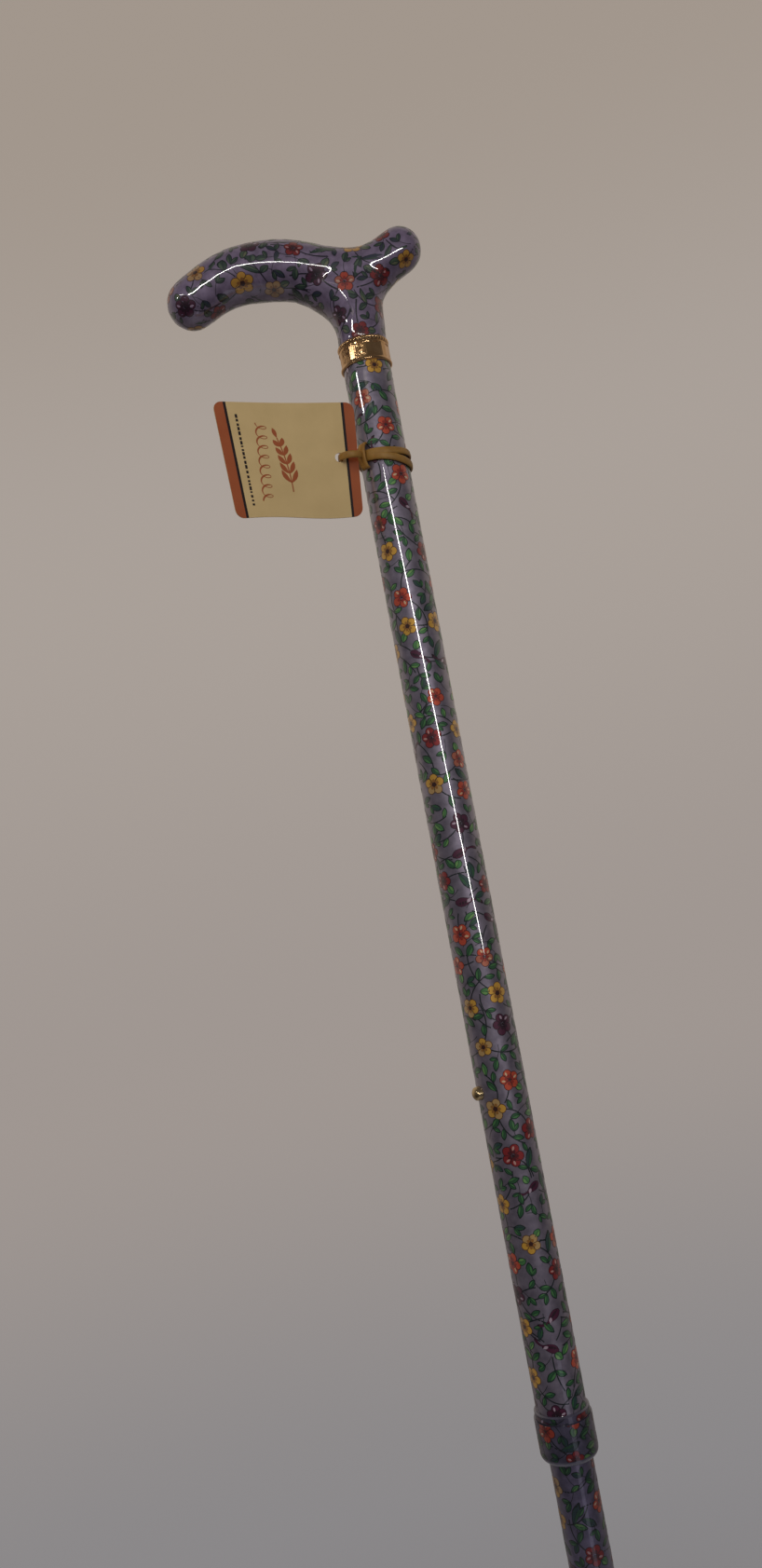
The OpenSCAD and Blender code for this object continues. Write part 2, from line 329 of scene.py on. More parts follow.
# ---- handle
# The arm's centre line, as in the CAD: x, height over the neck, half height, half width
ARM = [(-75.6, 35.2, 12.1, 11.6), (-70, 38.4, 12.3, 12), (-62, 42.2, 12.6, 12.3),
       (-52, 44.6, 13.2, 12.8), (-42, 44.8, 13.8, 13), (-32, 43.6, 14, 13.1),
       (-22, 41.1, 13.6, 12.8), (-11, 37.6, 12.6, 12.3), (0, 35.5, 11.8, 11.9),
       (8, 35.7, 11.2, 11.5), (16, 38, 10.9, 11.2), (25, 42.6, 10.9, 10.9)]
# The neck's flare, as in the CAD: height over the neck, left edge, right edge, half width
NECK = [(-2.5, -11.6, 11.6, 11.6), (6, -11.1, 12, 11.6), (11, -11.7, 12.4, 11.6),
        (15, -13.4, 12.8, 11.7), (19, -16.3, 13.3, 11.8), (23, -20.6, 15.6, 11.9),
        (26, -24, 18.6, 12), (28.5, -28.5, 21.5, 12), (34, -30, 21, 11)]
HANDLE_SIDES = 64
HANDLE_VOXEL = 0.75


def arm_mesh():
    rows = smooth_rows(ARM, 6)
    last = len(rows) - 1

    def ring(i, shift=0, shrink=1):
        behind, ahead = around(rows, i)
        dx, dz = (ahead[:2] - behind[:2]) / np.linalg.norm(ahead[:2] - behind[:2])
        x, z, high, wide = rows[i]
        out = []
        for c, t in spin(HANDLE_SIDES):
            up, side = high * shrink * c, wide * shrink * t
            out.append((x + dx * shift - dz * up, side, NECK_Z + z + dz * shift + dx * up))
        return out

    cap = [math.radians(a) for a in range(84, 0, -7)]
    verts = []
    for a in cap:
        verts += ring(0, -rows[0][2] * math.sin(a), math.cos(a))
    for i in range(last + 1):
        verts += ring(i)
    for a in reversed(cap):
        verts += ring(last, rows[last][2] * math.sin(a), math.cos(a))
    return capped(verts)


def neck_mesh():
    verts = []
    for z, left, right, half in smooth_rows(NECK, 5):
        mid, wide = (left + right) / 2, (right - left) / 2
        verts += [(mid + wide * c, half * t, NECK_Z + z) for c, t in spin(HANDLE_SIDES)]
    return capped(verts)


def capped(verts):
    """Faces for rings of HANDLE_SIDES points, closed at both ends."""
    rings = len(verts) // HANDLE_SIDES
    faces = grid_faces(rings, HANDLE_SIDES)
    faces.append(tuple(range(HANDLE_SIDES - 1, -1, -1)))
    faces.append(tuple(range((rings - 1) * HANDLE_SIDES, rings * HANDLE_SIDES)))
    return verts, faces


def apply_modifiers(obj):
    evaluated = obj.evaluated_get(bpy.context.evaluated_depsgraph_get())
    mesh = bpy.data.meshes.new_from_object(evaluated)
    obj.modifiers.clear()
    obj.data = mesh
    mesh.polygons.foreach_set("use_smooth", [True] * len(mesh.polygons))


def make_handle():
    """The arm and the neck's flare, melted into one smooth body."""
    verts, faces = joined([arm_mesh(), neck_mesh()])
    obj = piece("handle_body", verts, faces, [HANDLE_PAINT], "upper", "lacquered_handle")
    remesh = obj.modifiers.new("melt", "REMESH")
    remesh.mode = "VOXEL"
    remesh.voxel_size = HANDLE_VOXEL * MM
    smooth = obj.modifiers.new("smooth", "SMOOTH")
    smooth.factor = 0.5
    smooth.iterations = 60
    bpy.context.view_layer.update()
    apply_modifiers(obj)
    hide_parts("handle")
    return obj


handle = make_handle()


# ---- floral print
# Inks: name, colour. Each ink is one even layer, and a flower is built up of several.
INKS = {
    "stem": (0.012, 0.02, 0.024),
    "leaf_line": (0.006, 0.022, 0.018),
    "leaf": (0.03, 0.13, 0.05),
    "leaf_pale": (0.085, 0.27, 0.085),
    "lime": (0.2, 0.42, 0.12),
    "teal": (0.03, 0.08, 0.075),
    "orange_line": (0.075, 0.008, 0.01),
    "orange": (0.66, 0.085, 0.035),
    "orange_deep": (0.36, 0.026, 0.016),
    "coral": (0.56, 0.17, 0.1),
    "cream": (0.85, 0.58, 0.36),
    "yellow_line": (0.12, 0.045, 0.01),
    "yellow": (0.8, 0.43, 0.055),
    "straw": (0.62, 0.39, 0.15),
    "ochre": (0.4, 0.17, 0.03),
    "brown": (0.05, 0.01, 0.006),
    "red_line": (0.03, 0.003, 0.006),
    "red": (0.32, 0.018, 0.02),
    "red_deep": (0.1, 0.006, 0.012),
    "blush": (0.68, 0.38, 0.34),
    "plum_line": (0.015, 0.003, 0.01),
    "plum": (0.09, 0.01, 0.045),
    "plum_deep": (0.03, 0.004, 0.018),
    "lilac": (0.55, 0.42, 0.52),
}
# Flowers: outline, petals, shade at the heart, highlight, heart, how often it comes
FLOWERS = {
    "orange": ("orange_line", ("orange",), "orange_deep", "cream", None, 3),
    "yellow": ("yellow_line", ("yellow",), "ochre", None, "brown", 3),
    "red": ("red_line", ("red",), "red_deep", "blush", None, 3),
    "coral": ("orange_line", ("coral", "orange"), "orange_deep", "cream", None, 1),
    "straw": ("yellow_line", ("straw", "straw", "yellow"), "ochre", None, "brown", 2),
    "plum": ("plum_line", ("plum",), "plum_deep", "lilac", None, 1),
    "bud": ("plum_line", ("plum",), "plum_deep", "lilac", None, 3),
}
LAYER = 0.009
BASE_LIFT = 0.03
NARROW = 0.3
# A face with a longer edge spans a hollow of the surface, and is left out
LONGEST_EDGE = 4
# How far the lower tube's print reaches above the lock's foot, for the cane's longest setting
HIDDEN_PRINT = 105
# The lower tube's print lies this much closer, to clear the upper tube's bore
BORE_GAP = 0.012
# Stamps may be centred this far past a tube's printed length, and are cut off at its ends
PRINT_MARGIN = 3.0


class Tube:
    """A cylinder about Z. Stamps land on it at an angle and a height."""

    def __init__(self, radius, low, high):
        self.radius, self.low, self.high = radius, low, high

    def sites(self, rng, count):
        for _ in range(count):
            yield rng.uniform(0, TAU), rng.uniform(self.low, self.high), rng.uniform(0, TAU)

    def at(self, site, x, y):
        """The point and normal at x, y of a stamp turned and placed as the site says."""
        angle, z, turn = site
        u = x * math.cos(turn) - y * math.sin(turn)
        v = x * math.sin(turn) + y * math.cos(turn)
        normal = Vector((math.cos(angle + u / self.radius), math.sin(angle + u / self.radius), 0))
        return normal * self.radius + Vector((0, 0, z + v)), normal

    def normals(self, points):
        return [Vector((p[0], p[1], 0)).normalized() for p in points]


class Skin:
    """Any smooth mesh. Stamps wrap round it from the tangent plane at their site."""

    def __init__(self, obj, low):
        mesh = obj.data
        self.low = low
        self.points = [v.co / MM for v in mesh.vertices]
        self.vertex_normals = [v.normal.copy() for v in mesh.vertices]
        self.tree = BVHTree.FromPolygons(self.points, [tuple(p.vertices) for p in mesh.polygons])
        self.corners = kdtree.KDTree(len(self.points))
        for i, point in enumerate(self.points):
            self.corners.insert(point, i)
        self.corners.balance()

    def smooth_normal(self, point):
        total = Vector()
        for _, i, distance in self.corners.find_n(point, 6):
            total += self.vertex_normals[i] / (distance + 0.15)
        return total.normalized()

    def sites(self, rng, count):
        for _ in range(count):
            point = self.points[rng.randrange(len(self.points))]
            turn = rng.uniform(0, TAU)
            if point.z < self.low:
                continue
            normal = self.smooth_normal(point)
            across = normal.orthogonal().normalized()
            across.rotate(Matrix.Rotation(turn, 3, normal))
            yield point, across, normal.cross(across)

    def at(self, site, x, y):
        point, across, up = site
        spread = math.hypot(x, y) / 14.0
        stretch = math.tan(min(spread, 1.2)) / spread if spread > 1e-3 else 1.0
        flat = point + (across * x + up * y) * stretch
        nearest = self.tree.find_nearest(flat)[0]
        return nearest, self.smooth_normal(nearest)

    def normals(self, points):
        return [self.smooth_normal(p) for p in points]


class Print:
    """Collects the stamps of one surface and makes one mesh of them."""

    def __init__(self, surface):
        self.surface = surface
        self.verts, self.faces, self.inks = [], [], []

    def lay(self, site, x, y, layer):
        point, normal = self.surface.at(site, x, y)
        self.verts.append(point + normal * (BASE_LIFT + layer * LAYER))

    def ribbon(self, site, line, widths, ink, layer):
        """A strip of ink along a line, as wide to each side as widths says."""
        start = len(self.verts)
        sides = (-1, 1) if max(widths) < NARROW else (-1, 0, 1)
        n = len(sides)
        for i, (x, y) in enumerate(line):
            nx, ny = left_of(line, i)
            for side in sides:
                w = widths[i] * side
                self.lay(site, x + nx * w, y + ny * w, layer)
        for i in range(len(line) - 1):
            for side in range(n - 1):
                a = start + i * n + side
                self.faces.append((a, a + 1, a + n + 1, a + n))
                self.inks.append(ink)

    def disc(self, site, x, y, radius, ink, layer, sides=12, wide=None, angle=0.0):
        """A round spot of ink, or an oval one that is wide across its angle."""
        start = len(self.verts)
        c, t = math.cos(angle), math.sin(angle)
        oval = [(radius * a, (wide or radius) * b) for a, b in spin(sides)]
        rim = [(x + u * c - v * t, y + u * t + v * c) for u, v in oval]
        for px, py in [(x, y)] + rim:
            self.lay(site, px, py, layer)
        for k in range(sides):
            self.faces.append((start, start + 1 + k, start + 1 + (k + 1) % sides))
            self.inks.append(ink)

    def make(self, name, body, slot, inks, trim):
        """One piece of all the stamps, cut off at the heights in trim."""
        names = list(INKS)
        whole = [i for i, face in enumerate(self.faces)
                 if max((self.verts[a] - self.verts[b]).length
                        for a in face for b in face) < LONGEST_EDGE]
        obj = piece(name, self.verts, [self.faces[i] for i in whole], [inks[n] for n in names],
                    body, slot, [names.index(self.inks[i]) for i in whole])
        bm = bmesh.new()
        bm.from_mesh(obj.data)
        for z, way in zip(trim, (-1, 1)):
            bmesh.ops.bisect_plane(bm, geom=bm.verts[:] + bm.edges[:] + bm.faces[:],
                                   plane_co=(0, 0, z * MM), plane_no=(0, 0, way), clear_outer=True)
        bmesh.ops.dissolve_degenerate(bm, edges=bm.edges, dist=1e-7)
        bm.to_mesh(obj.data)
        bm.free()
        normals = self.surface.normals([v.co / MM for v in obj.data.vertices])
        for polygon in obj.data.polygons:
            if polygon.normal.dot(normals[polygon.vertices[0]]) < 0:
                polygon.flip()
        obj.data.polygons.foreach_set("use_smooth", [True] * len(obj.data.polygons))
        obj.data.normals_split_custom_set_from_vertices([tuple(n) for n in normals])


def along(length, angle, bend, steps, x=0.0, y=0.0):
    """A line that starts at x, y at an angle and turns evenly by bend, both in radians."""
    out = [(x, y)]
    for i in range(steps):
        a = angle + bend * (i + 0.5) / steps
        x += math.cos(a) * length / steps
        y += math.sin(a) * length / steps
        out.append((x, y))
    return out


LEAF_SHAPE = [0.05, 0.55, 0.92, 1.0, 0.7, 0.04]
BROAD_SHAPE = [0.3, 0.85, 1.0, 0.9, 0.62, 0.12]
BUD_SHAPE = [0.25, 0.8, 1.0, 0.95, 0.75, 0.45, 0.25]
STREAK_SHAPE = [0.2, 0.8, 1.0, 0.6, 0.1]


def scaled(shape, width, extra=0.0):
    return [s * width + extra for s in shape]


def flower(printed, rng, site, kind, size):
    """Five round petals, each with a dark edge, a shaded root and now and then a highlight."""
    line, petals, shade, highlight, heart, _ = FLOWERS[kind]
    start = rng.uniform(0, TAU)
    pale = rng.sample(range(5), rng.choice((2, 3))) if highlight else []
    for k in range(5):
        angle = start + TAU * k / 5 + rng.uniform(-0.07, 0.07)
        far = 0.29 * size * rng.uniform(0.94, 1.05)
        lobe = 0.2 * size * rng.uniform(0.93, 1.04)
        c, t = math.cos(angle), math.sin(angle)
        printed.disc(site, far * c, far * t, lobe + 0.28, line, 1, 14, lobe + 0.24, angle)
        printed.disc(site, far * c, far * t, lobe, rng.choice(petals), 2, 12, lobe - 0.04, angle)
        printed.disc(site, 0.17 * size * c, 0.17 * size * t, 0.1 * size, shade, 3, 8,
                     0.075 * size, angle)
        if k in pale:
            side = rng.choice((-1, 1)) * 0.06 * size
            printed.disc(site, 0.31 * size * c - side * t, 0.31 * size * t + side * c, 0.1 * size,
                         highlight, 4, 8, 0.05 * size, angle)
        between = angle + TAU / 10
        seam = along(0.28 * size, between, 0, 2, *towards(between, 0.1 * size))
        printed.ribbon(site, seam, [0.16, 0.16, 0.14], line, 3.5)
    printed.disc(site, 0, 0, (0.115 if heart else 0.06) * size, heart or line, 5, 10)


def bud(printed, site, size):
    """A drooping bud: a drop with a bright spot, on a thick curled stalk."""
    stalk = along(0.7 * size, 0.5, -1.4, 6, 0.3 * size, 0.06 * size)
    printed.ribbon(site, stalk, [0.36, 0.4, 0.44, 0.5, 0.66, 0.7, 0.3], "plum_line", 1)
    printed.ribbon(site, stalk[:-1], [0.2, 0.24, 0.28, 0.34, 0.5, 0.5], "plum", 2)
    # Length, angle, bend, steps, start, shape, width, edge, ink and layer of each stroke
    for length, angle, bend, steps, x, y, shape, width, edge, ink, layer in (
            (0.84, 0, 0.35, 6, -0.4, 0, BUD_SHAPE, 0.2, 0.16, "plum_line", 1),
            (0.78, 0, 0.35, 6, -0.37, 0, BUD_SHAPE, 0.2, 0, "plum", 2),
            (0.6, 0.1, 0.35, 4, -0.3, -0.07, STREAK_SHAPE, 0.07, 0, "plum_deep", 3),
            (0.26, 0.7, 0.2, 4, 0.16, 0.02, STREAK_SHAPE, 0.08, 0, "lilac", 4)):
        printed.ribbon(site, along(length * size, angle, bend, steps, x * size, y * size),
                       scaled(shape, width * size, edge), ink, layer)


def leaf(printed, rng, site, x, y, angle, length, kind, shape=LEAF_SHAPE, under=0):
    """A pointed leaf with a dark edge and midrib and a pale half."""
    fill, pale = {"green": ("leaf", "leaf_pale"), "bright": ("leaf_pale", "lime"),
                  "teal": ("teal", "leaf")}[kind]
    bend = rng.uniform(-0.45, 0.45)
    width = length * (0.38 if shape is BROAD_SHAPE else rng.uniform(0.19, 0.24))
    width = min(width, 1.6)
    steps = len(shape) - 1
    printed.ribbon(site, along(length, angle, bend, steps, x, y), scaled(shape, width, 0.22),
                   "leaf_line", 1 - under)
    inner = along(length * 0.86, angle, bend, steps, *towards(angle, 0.3, x, y))
    printed.ribbon(site, inner, scaled(shape, width - 0.1), fill, 2 - under)
    offset = 0.45 * width * rng.choice((-1, 1))
    printed.ribbon(site, along(length * 0.6, angle, bend * 0.7, 4,
                               x + 0.9 * math.cos(angle) - offset * math.sin(angle),
                               y + 0.9 * math.sin(angle) + offset * math.cos(angle)),
                   scaled(STREAK_SHAPE, 0.34 * width), pale, 3 - under)
    printed.ribbon(site, along(length * 0.8, angle, bend, 3, x, y), [0.12, 0.1, 0.08, 0.04],
                   "leaf_line", 4 - under)


class Crowd:
    """Remembers what is placed, so that stamps keep clear of each other."""

    def __init__(self, taken=()):
        self.spots = list(taken)

    def free(self, point, radius):
        return all((point - q).length > radius + r for q, r in self.spots)

    def add(self, point, radius):
        self.spots.append((point, radius))


def sprig(printed, rng, site, crowd, angle, size):
    """A curved stem out of a flower, with leaves to both sides and one at its end."""
    length = rng.uniform(13, 21)
    bend = rng.choice((-1, 1)) * rng.uniform(0.6, 1.5)
    steps = 10
    stem = along(length, angle, bend, steps, *towards(angle, 0.42 * size))
    reached = 1
    while reached < steps and crowd.free(printed.surface.at(site, *stem[reached + 1])[0], 0.1):
        reached += 1
    if reached < 3:
        return
    stem = stem[:reached + 1]
    printed.ribbon(site, stem, [0.28] * len(stem), "stem", 0)
    side = rng.choice((-1, 1))
    for i in range(3, reached + 1, 3):
        heading = angle + bend * i / steps
        side = -side
        turns = (heading + side * rng.uniform(0.6, 1.0), heading - side * rng.uniform(0.7, 1.1))
        for turn in turns:
            long = rng.random() < 0.16
            leaf_length = rng.uniform(7.5, 10.5) if long else rng.uniform(4.6, 6.6)
            kind = "teal" if long else rng.choice(("green", "green", "green", "bright"))
            spots = [printed.surface.at(site, *towards(turn, leaf_length * share, *stem[i]))[0]
                     for share in (0.35, 0.65, 0.9)]
            if all(crowd.free(spot, r) for spot, r in zip(spots, (0.8, 1.0, 0.5))):
                leaf(printed, rng, site, *stem[i], turn, leaf_length, kind)
                for spot in spots:
                    crowd.add(spot, 1.0)
            if rng.random() < 0.6:
                break


def scatter(printed, rng, gap, tries, size, taken=(), kinds=None):
    """Flowers all over the surface, no closer than gap, then stems and leaves between them."""
    kinds = kinds or [k for k, f in FLOWERS.items() for _ in range(f[5])]
    deck = []
    crowd = Crowd(taken)
    sites = []
    for site in printed.surface.sites(rng, tries):
        point = printed.surface.at(site, 0, 0)[0]
        if not crowd.free(point, gap / 2):
            continue
        if not deck:
            deck = list(kinds)
            rng.shuffle(deck)
        crowd.add(point, gap / 2)
        sites.append((site, point, deck.pop(), size * rng.uniform(0.9, 1.08)))
    crowd.spots = list(taken) + [(point, 0.46 * across) for _, point, _, across in sites]
    for site, _, kind, across in sites:
        if kind == "bud":
            bud(printed, site, across)
        else:
            flower(printed, rng, site, kind, across)
        if rng.random() < 0.5:
            angle = rng.uniform(0, TAU)
            reach = (0.3 if kind == "bud" else 0.4) * across
            tip = printed.surface.at(site, *towards(angle, reach + 3.2))[0]
            if crowd.free(tip, 1.0):
                leaf(printed, rng, site, *towards(angle, reach), angle, rng.uniform(3.8, 4.6),
                     "bright", BROAD_SHAPE, under=1)
                crowd.add(tip, 1.4)
    for site, _, kind, across in sites:
        first = rng.uniform(0, TAU)
        for turn in (0, TAU / 3, TAU * 2 / 3):
            sprig(printed, rng, site, crowd, first + turn + rng.uniform(-0.5, 0.5), across)
    for site in printed.surface.sites(rng, tries):
        middle = printed.surface.at(site, 2.2, 0)[0]
        if crowd.free(middle, 2.9):
            printed.ribbon(site, along(6, math.pi + 0.2, 0.6, 5), [0.13] * 6, "stem", 0)
            leaf(printed, rng, site, 0, 0, 0.3, rng.uniform(4.4, 6), rng.choice(("green", "teal")))
            leaf(printed, rng, site, 0, 0, -0.75, rng.uniform(3.4, 4.6), "green")
            crowd.add(middle, 2.6)


def ink_set(name, tint, green_tint, metallic, coat_roughness):
    """The inks as materials, under the same lacquer as the ground, and darkened by a tint, which for
    the lower tube's and the lock's inks is partly painted shade.
    """
    inks = {}
    for ink, color in INKS.items():
        by = green_tint if ink.startswith(("leaf", "lime", "teal", "stem")) else tint
        inks[ink] = material(f"{name}_{ink}", [c * t for c, t in zip(color, by)], metallic, 0.42,
                             coat=1.0, coat_roughness=coat_roughness)
    return inks


tube_inks = ink_set("tube_ink", (1, 1, 1), (1, 1, 1), 0.3, 0.02)
# The lower tube's and the lock's inks are darkened partly as painted shade, for the dimmer light low
# on the cane.
low_inks_and_shade = ink_set("low_ink", (0.6, 0.6, 0.7), (0.55, 0.5, 0.65), 0.3, 0.02)
handle_inks = ink_set("handle_ink", (0.7, 0.65, 0.75), (0.8, 0.4, 0.8), 0.1, 0.012)


def holes(radius, heights):
    """The spots that a tube's print leaves free, where the button comes through."""
    return [(Vector((-radius * math.cos(BUTTON_TURN), -radius * math.sin(BUTTON_TURN), z)),
             HOLE_R + 0.3) for z in heights]


def print_tube(name, body, slot, inks, radius, low, high, seed, gap, size, taken=()):
    """A printed cylinder from low to high, with stamps cut off at both ends."""
    printed = Print(Tube(radius, low - PRINT_MARGIN, high + PRINT_MARGIN))
    area = TAU * radius * (high - low + 2 * PRINT_MARGIN)
    scatter(printed, random.Random(seed), gap, int(area * 0.9), size, taken)
    printed.make(name, body, slot, inks, (low, high))


print_tube("upper_tube_print", "upper", "printed_tube", tube_inks, UPPER_R,
           LOCK_TOP_Z - 2, COLLAR_Z + 2, 11, 13.2, 9.3, holes(UPPER_R, [BUTTON_Z]))
print_tube("lower_tube_print", "lower", "printed_lower_tube", low_inks_and_shade, LOWER_R - BORE_GAP,
           FERRULE_H - 2, LOCK_Z + HIDDEN_PRINT, 23, 13.4, 9.0,
           holes(LOWER_R, [BUTTON_Z - k * HOLE_PITCH for k in range(2, 8)]))
print_tube("lock_ring_print", "lock_nut", "printed_plastic", low_inks_and_shade, LOCK_R,
           LOCK_Z + 2.7, LOCK_RING_TOP_Z - 0.1, 5, 13.4, 9.0)
print_tube("lock_lip_print", "upper", "printed_plastic", low_inks_and_shade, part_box("lock_base")[1].x / MM,
           LOCK_TOP_Z - 3.2, LOCK_TOP_Z - 0.7, 7, 14, 8.4)

handle_print = Print(Skin(handle, NECK_Z - 1))
scatter(handle_print, random.Random(41), 13.6, 16000, 9.6,
        kinds=["red", "red", "red", "plum", "plum", "plum", "yellow", "yellow", "straw", "coral"])
handle_print.make("handle_print", "upper", "lacquered_handle", handle_inks,
                  (NECK_Z - 1.5, NECK_Z + 200))


# ---- collar ring
def ring_radius(angle, z):
    """Outer radius of the collar ring: rolled rim, embossed band, groove and roped bead."""
    rim_top, band_top, groove_top = 1.5, 8.8, 9.7
    if z < rim_top:
        return COLLAR_R - 0.75 + 0.75 * math.sqrt(max(0.0, 1 - ((z - 0.75) / 0.75) ** 2))
    if z < rim_top + 0.35 or band_top - 0.35 < z < band_top:
        return COLLAR_R - 0.3
    if z < band_top:
        return COLLAR_R - 0.35 + emboss(angle, z - (rim_top + band_top) / 2)
    if z < groove_top:
        return COLLAR_R - 0.9
    half = (COLLAR_H - groove_top) / 2
    bulge = math.sqrt(max(0.0, 1 - ((z - groove_top - half) / half) ** 2))
    rope = 0.28 * abs(math.sin(0.5 * (ROPE_TURNS * angle + 1.1 * (z - groove_top))))
    return COLLAR_R - 1.15 + (0.87 + rope) * bulge


PANELS = 9
BAR_HALF = 1.35
ROPE_TURNS = 44
SCROLL_R = 1.3
SCROLLS = [(-1.1, 1.9, 1), (-1.1, -1.9, -1), (1.1, 1.9, -1), (1.1, -1.9, 1)]


def emboss(angle, z):
    """Height of the pressed pattern: panels of scrolls round a rosette, with flat bars between."""
    panel = TAU / PANELS
    x = ((angle % panel) - panel / 2) * COLLAR_R
    edge = panel / 2 * COLLAR_R - abs(x)
    if edge < BAR_HALF:
        return -0.075 * (1 - (edge / BAR_HALF) ** 2)
    if edge < BAR_HALF + 0.35:
        return -0.12
    flat = -0.345 * (1 - (x / 2.9) ** 2)
    distance = math.hypot(x, z)
    height = 0.1 * math.exp(-(distance / 0.95) ** 2) * (0.6 + 0.4 * math.cos(5 * math.atan2(z, x)))
    for cx, cz, hand in SCROLLS:
        dx, dz = x - cx, z - cz
        d = math.hypot(dx, dz)
        if d < SCROLL_R:
            spiral = math.cos(TAU * (d / 0.9) - hand * math.atan2(dz, dx))
            height += 0.04 * spiral * math.cos(0.5 * math.pi * d / SCROLL_R)
    return flat + height


def make_collar():
    segments, step = 420, 0.17
    rows = int(round(COLLAR_H / step))
    inner_r = UPPER_R + 0.15
    verts = []
    for i in range(rows + 1):
        z = COLLAR_H * i / rows
        for k in range(segments):
            angle = TAU * k / segments
            r = ring_radius(angle, z)
            verts.append((r * math.cos(angle), r * math.sin(angle), COLLAR_Z + z))
    for z in (COLLAR_H, 0.0):
        verts += circle(inner_r, COLLAR_Z + z, segments)
    faces = grid_faces(rows + 3, segments, closed_rows=True)
    obj = piece("collar_ring_gilt", verts, faces, [GOLD], "upper", "gilt_metal")
    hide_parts("collar_ring")
    crisp(obj, 50)


make_collar()


# ---- snap button and its spring
def turned(points):
    """Points turned about Z from straight left to where the button points."""
    c, t = math.cos(BUTTON_TURN), math.sin(BUTTON_TURN)
    return [(x * c - y * t, x * t + y * c, z) for x, y, z in points]


def make_button():
    """Turned button: a domed head with a soft edge, a neck and a flange inside the tube."""
    head_r, flange_r, flange_x, dome = 3.0, 4.4, 5.5, 1.6
    tip = UPPER_R + BUTTON_OUT
    profile = [(0.001, flange_x), (flange_r - 0.6, flange_x), (flange_r - 0.15, flange_x + 0.2),
               (flange_r - 0.15, flange_x + 0.85), (head_r, flange_x + 1.15)]
    dome_r = (head_r ** 2 + dome ** 2) / (2 * dome)
    half = math.degrees(math.asin(head_r / dome_r))
    soft = [(r, x) for x, r in arc(tip - dome_r, 0, dome_r, half * 0.9, 0.2, 14)]
    profile += [(head_r, tip - dome - 0.45), (head_r - 0.08, tip - dome - 0.12)] + soft
    segments = 64
    points, faces = lathe(profile, segments)
    verts = turned([(-z, y, BUTTON_Z + x) for x, y, z in points])
    obj = piece("snap_button_dome", verts, faces, [BRASS], "button", "brass")
    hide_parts("snap_button")
    crisp(obj, 40)


def make_spring():
    """V-shaped leaf behind the button, built in its open shape; it doesn't close when the button goes
    in.
    """
    thick, half_w = 0.35, 2.9
    line = [(-5.05, 4.6), (-5.05, -4.9), (-1.6, -16.5), (2.2, -29), (3.9, -34.2)]
    line += arc(5.55, -34.2, 1.6, 190, 350, 8)[1:] + [(7.2, -20), (7.2, -8), (7.15, 4)]
    verts = []
    for i, (x, z) in enumerate(line):
        nx, nz = (c * thick for c in left_of(line, i))
        verts += [(x + nx, -half_w, BUTTON_Z + z + nz), (x + nx, half_w, BUTTON_Z + z + nz),
                  (x - nx, half_w, BUTTON_Z + z - nz), (x - nx, -half_w, BUTTON_Z + z - nz)]
    faces = grid_faces(len(line), 4) + [(3, 2, 1, 0), tuple(len(verts) - 4 + k for k in range(4))]
    obj = piece("button_spring_leaf", turned(verts), faces, [STEEL], "upper", "steel")
    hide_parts("button_spring")
    crisp(obj, 40)
    fixed = turned([(7.5, 0, BUTTON_Z)])[0]
    tuple(c * MM for c in fixed)
    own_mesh(obj)


make_button()
make_spring()


# ---- ferrule
def make_ferrule():
    """Moulded rubber foot: tread rings, flared skirt, ribbed cup and a bead at its mouth."""
    foot, mouth, floor_z = FERRULE_R, 13.0, 10.0
    outside = [(foot - 1.5, 0.0)] + arc(foot - 1.5, 1.5, 1.5, -70, 0, 5) + [(foot, 5.4)]
    outside += arc(foot - 1.0, 6.2, 1.0, 0, 55, 4)
    flare = smooth_rows([(foot - 1.2, 7.6), (foot - 3.2, 11.0), (foot - 4.9, 15.5),
                         (mouth + 0.5, 22.0), (mouth + 0.05, 27.5), (mouth, 30.0)], 4)
    outside += [tuple(row) for row in flare]
    for z in (FERRULE_H - 11.5, FERRULE_H - 8.0):
        outside += [(mouth - 0.25, z - 1.2)] + arc(mouth - 0.3, z, 1.05, -75, 75, 6)
        outside += [(mouth - 0.25, z + 1.2)]
    outside += [(mouth - 0.5, FERRULE_H - 4.6)]
    outside += arc(mouth - 0.9, FERRULE_H - 1.8, 1.75, -60, 88, 9)
    inside = [(LOWER_R + 0.02, FERRULE_H - 0.6), (LOWER_R + 0.02, floor_z), (0.001, floor_z)]
    tread = [(0.001, 0.0)]
    for r in (6, 10, 14):
        tread += [(r, 0.0), (r + 0.1, 1.1), (r + 1.1, 1.1), (r + 1.2, 0.0)]
    verts, faces = lathe(tread + outside + inside, 96)
    obj = piece("ferrule_rubber_foot", verts, faces, [RUBBER], "lower", "ferrule_rubber")
    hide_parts("ferrule")
    crisp(obj, 40)


make_ferrule()


# ---- swing tag
LINK = Vector((-15.3, -9.7, BAND_Z))
LINK_R = 5.2
TAG_TURN = math.radians(24)
# Corners of the hanging card: top and bottom at its band end, then at its free end
CARD_CORNERS = {"near_top": (-9.6, -10.0, 813.2), "near_bottom": (-14.2, -7.0, 760.8),
                "far_top": (-71.4, -31.2, 816.6), "far_bottom": (-69.0, -34.3, 761.2)}
CARD_W, CARD_H, CARD_T = 64.5, 54.5, 0.5
CORNER_R = 4.0
TAG_HOLE_R = 2.1
EDGE_BAND, EDGE_LINE = 4.6, 1.25


def card_point(x, y, lift=0.0):
    """A point of the hanging, bowed card, x from its band end and y up from its bottom."""
    corner = {k: Vector(v) for k, v in CARD_CORNERS.items()}
    s, t = x / CARD_W, y / CARD_H
    bottom = corner["near_bottom"].lerp(corner["far_bottom"], s)
    top = corner["near_top"].lerp(corner["far_top"], s)
    normal = (corner["far_bottom"] - corner["near_bottom"]).cross(
        corner["near_top"] - corner["near_bottom"]).normalized()
    bow = 1.5 * math.sin(math.pi * s) + 0.7 * math.sin(TAU * s + 0.6) * (1 - t)
    point = bottom.lerp(top, t) + normal * (bow + lift)
    point.z -= 0.5 * math.sin(TAU * s) * (1 - t)
    return point


